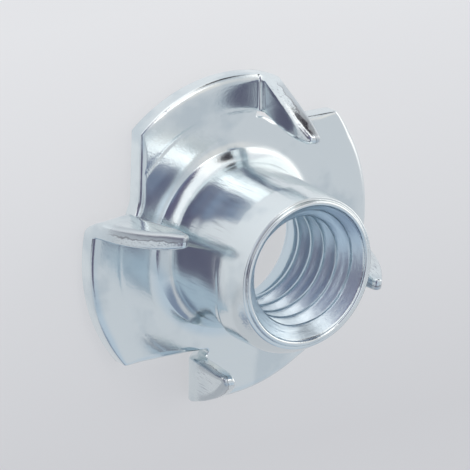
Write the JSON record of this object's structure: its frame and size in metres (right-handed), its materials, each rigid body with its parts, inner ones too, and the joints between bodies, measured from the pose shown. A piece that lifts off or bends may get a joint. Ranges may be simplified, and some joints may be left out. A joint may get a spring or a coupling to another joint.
{
  "type": "tee nut",
  "caption": "Round-flanged tee nut drawn from one sheet: threaded barrel with a collared mouth, and prongs folded up from notches in the rim.",
  "frame": {"origin": "centre of the flange's back face, on the barrel's axis", "axes": "+Z along the barrel's axis from the flange towards the mouth; +X through the straight edge side of one prong"},
  "size_m": [0.0254, 0.0254, 0.0111],
  "materials": {
    "zinc_plated_steel": "bright blue-white zinc plate on pressed steel"
  },
  "bodies": {
    "root": {"tee_nut": "zinc_plated_steel"}
  },
  "joints": []
}
